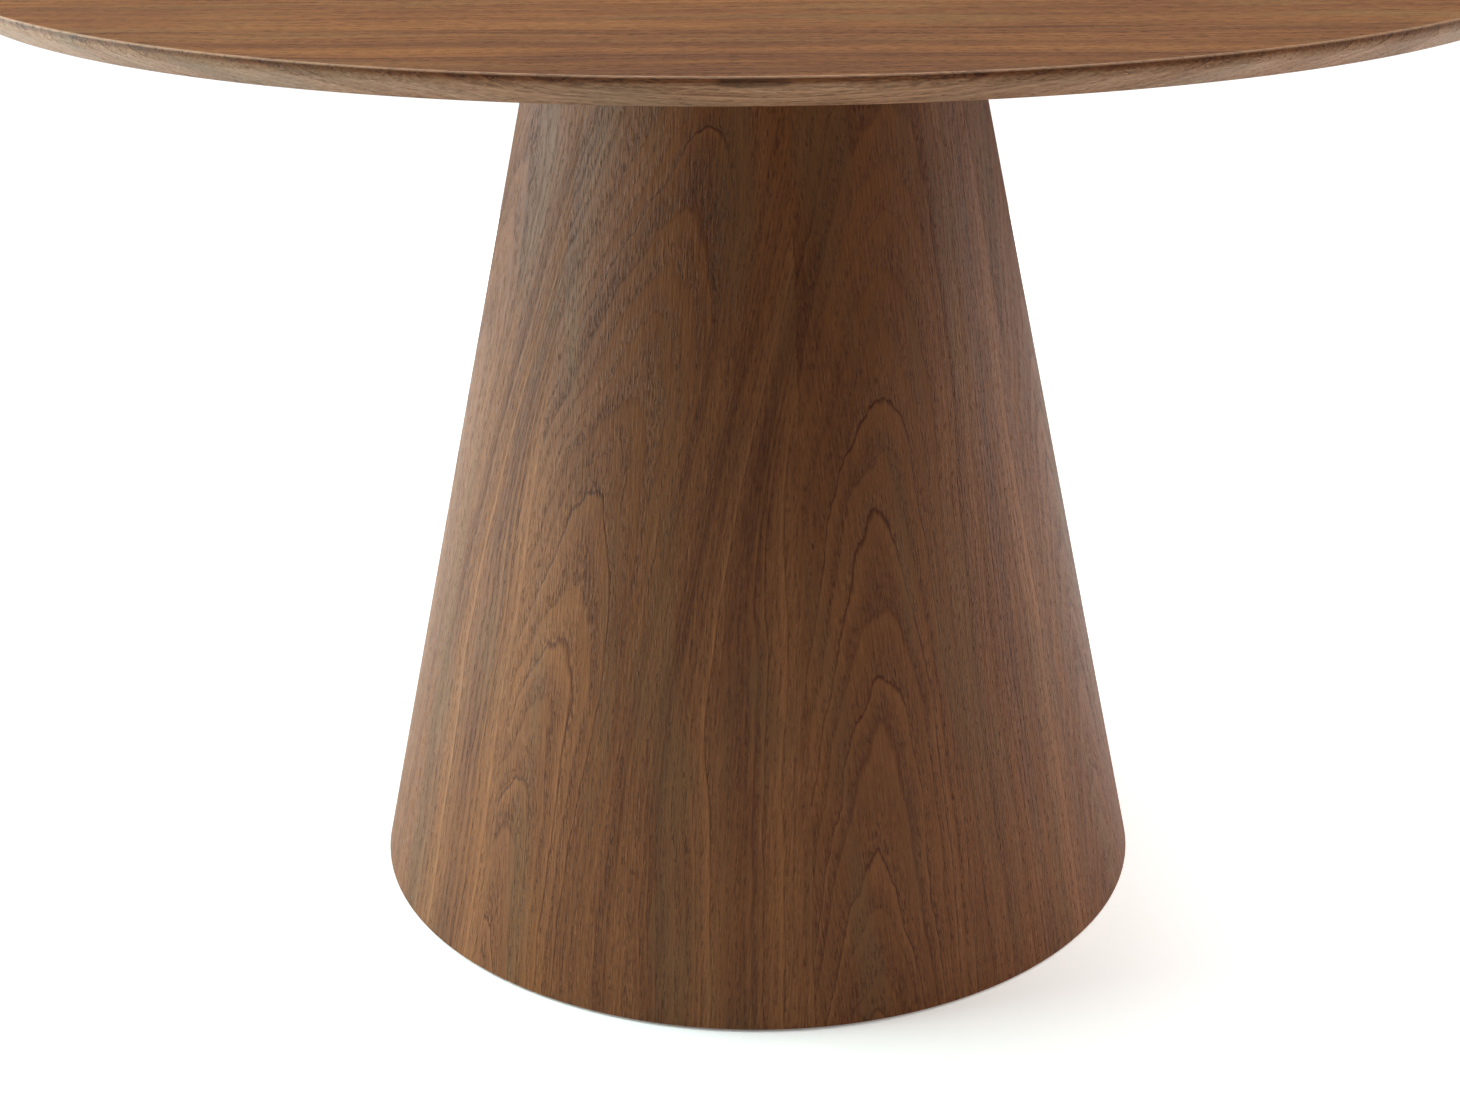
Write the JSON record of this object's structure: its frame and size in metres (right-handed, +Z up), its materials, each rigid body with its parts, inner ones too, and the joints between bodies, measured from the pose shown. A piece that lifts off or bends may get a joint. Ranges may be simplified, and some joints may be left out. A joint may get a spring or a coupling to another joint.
{
  "type": "tilt top table",
  "caption": "Round walnut table top with an undercut edge, hinged on a wide veneered cone pedestal, with bearers, a pivot and a slide bolt underneath.",
  "frame": {"origin": "centre of the foot, on the floor", "axes": "+Z up, -Y towards the front, where the top's edge goes down when it tilts; +X to the right seen from the front"},
  "size_m": [1.17, 1.1698, 0.76],
  "materials": {
    "walnut_boards": "satin lacquer",
    "walnut_veneer": "satin lacquer",
    "walnut_timber": "satin lacquer",
    "birch_ply": "bare sanded",
    "fibreboard": "bare",
    "ballast_steel": "matt black paint",
    "zinc_steel": "zinc plated",
    "steel": "turned and brushed",
    "brass": "satin, lightly aged",
    "rubber": "matt",
    "felt": "pressed felt"
  },
  "bodies": {
    "pedestal": {"glides": "felt", "glide_screws": "zinc_steel", "base_disc": "fibreboard", "ballast_plate": "ballast_steel", "ballast_bolts": "zinc_steel", "shell_panel_1": "birch_ply", "shell_panel_2": "birch_ply", "shell_panel_3": "birch_ply", "shell_panel_4": "birch_ply", "seam_strips": "birch_ply", "lower_former": "fibreboard", "upper_former": "fibreboard", "top_former": "fibreboard", "cap_disc": "walnut_timber", "veneer_leaf_1": "walnut_veneer", "veneer_leaf_2": "walnut_veneer", "veneer_leaf_3": "walnut_veneer", "veneer_leaf_4": "walnut_veneer", "veneer_leaf_5": "walnut_veneer", "veneer_leaf_6": "walnut_veneer", "veneer_leaf_7": "walnut_veneer", "tie_rod": "zinc_steel", "tie_nuts": "zinc_steel", "tie_washers": "zinc_steel", "tilt_block": "walnut_timber", "block_screws": "zinc_steel", "rest_pads": "rubber", "strike_plate": "brass", "strike_screws": "brass", "pivot_bolt_left": "steel", "pivot_bolt_right": "steel"},
    "table_top": {"top_board_1": "walnut_boards", "top_board_2": "walnut_boards", "top_board_3": "walnut_boards", "top_board_4": "walnut_boards", "top_board_5": "walnut_boards", "top_board_6": "walnut_boards", "top_board_7": "walnut_boards", "top_board_8": "walnut_boards", "loose_tongues": "birch_ply", "bearer_left": "walnut_timber", "bearer_right": "walnut_timber", "bearer_screws": "zinc_steel", "pivot_bush_left": "brass", "pivot_bush_right": "brass", "side_batten_left": "walnut_timber", "side_batten_right": "walnut_timber", "cross_rail": "walnut_timber", "batten_screws": "zinc_steel", "stop_buffer": "rubber", "buffer_screw": "zinc_steel", "bolt_housing": "brass", "housing_screws": "brass"},
    "slide_bolt": {"bolt_rod": "steel", "bolt_knob": "brass"}
  },
  "joints": [
    {"name": "tilt", "type": "hinge", "parent": "pedestal", "child": "table_top", "pos_m": [0, -0.138, 0.707], "axis": [1, 0, 0], "range_deg": [0, 75]},
    {"name": "bolt_slide", "type": "slide", "parent": "table_top", "child": "slide_bolt", "axis": [0, 1, 0], "range_m": [-0.014, 0]}
  ]
}
